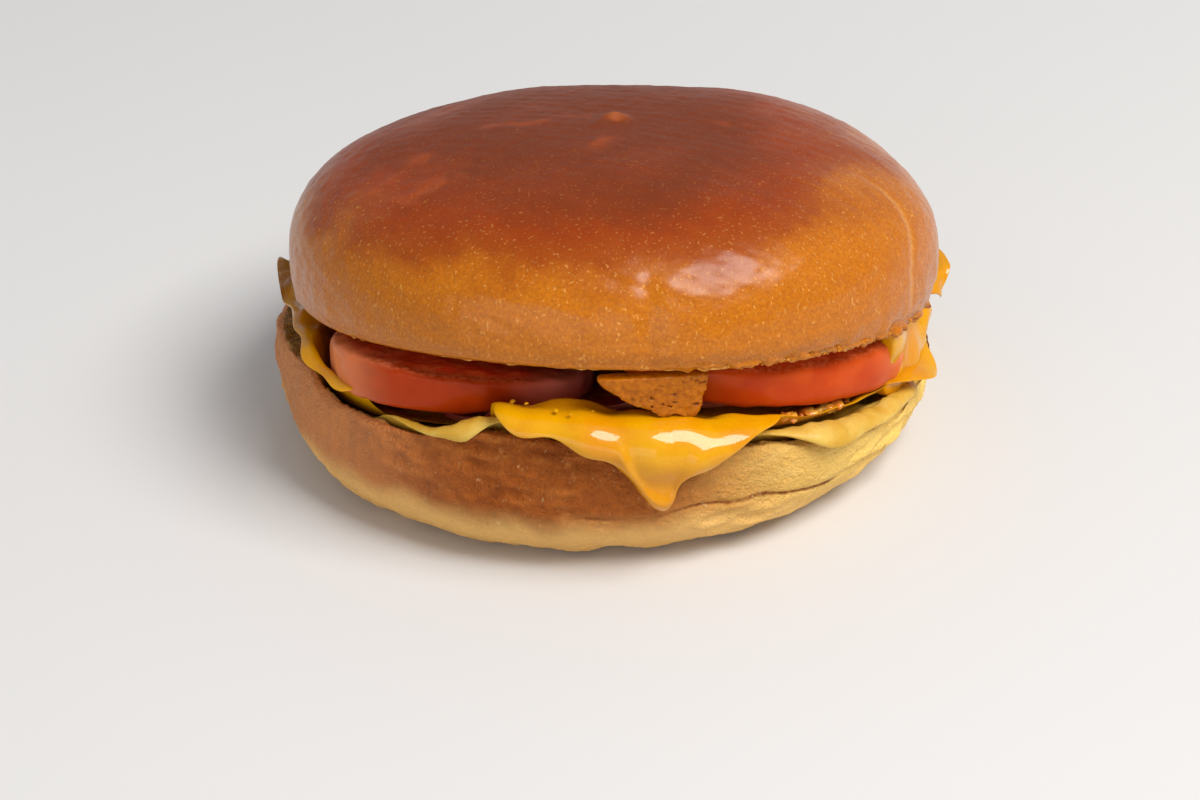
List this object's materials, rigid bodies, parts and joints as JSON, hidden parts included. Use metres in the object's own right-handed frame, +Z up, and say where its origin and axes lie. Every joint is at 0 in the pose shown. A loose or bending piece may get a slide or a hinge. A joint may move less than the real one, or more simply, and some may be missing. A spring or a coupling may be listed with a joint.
{
  "type": "breakfast sandwich",
  "caption": "Round bun cut in two around tomato, bacon, melted cheese and egg, with cheese that droops over the lower half and hangs in a tongue at the front.",
  "frame": {"origin": "on the surface that the sandwich rests on, under the middle of the lower half of the bun", "axes": "+Z up through the pile, -Y towards the side where the cheese drips, +X to the right of that side"},
  "size_m": [0.12, 0.115, 0.0584],
  "materials": {
    "heel_bun": "matte brown crust of baked bread",
    "egg_sheet": "soft cooked egg",
    "cheese_slice": "glossy melted cheese",
    "bacon": "greasy fried bacon",
    "cheese_tongue": "porous, half melted cheese",
    "tomato": "wet skin and flesh of tomato",
    "crown_bun": "shiny glazed crust of brioche"
  },
  "bodies": {
    "root": {"heel_bun": "heel_bun", "egg_sheet": "egg_sheet", "cheese_slice": "cheese_slice", "bacon_front": "bacon", "bacon_back": "bacon", "cheese_tongue": "cheese_tongue", "tomato_left": "tomato", "tomato_right": "tomato", "crown_bun": "crown_bun"}
  },
  "joints": []
}
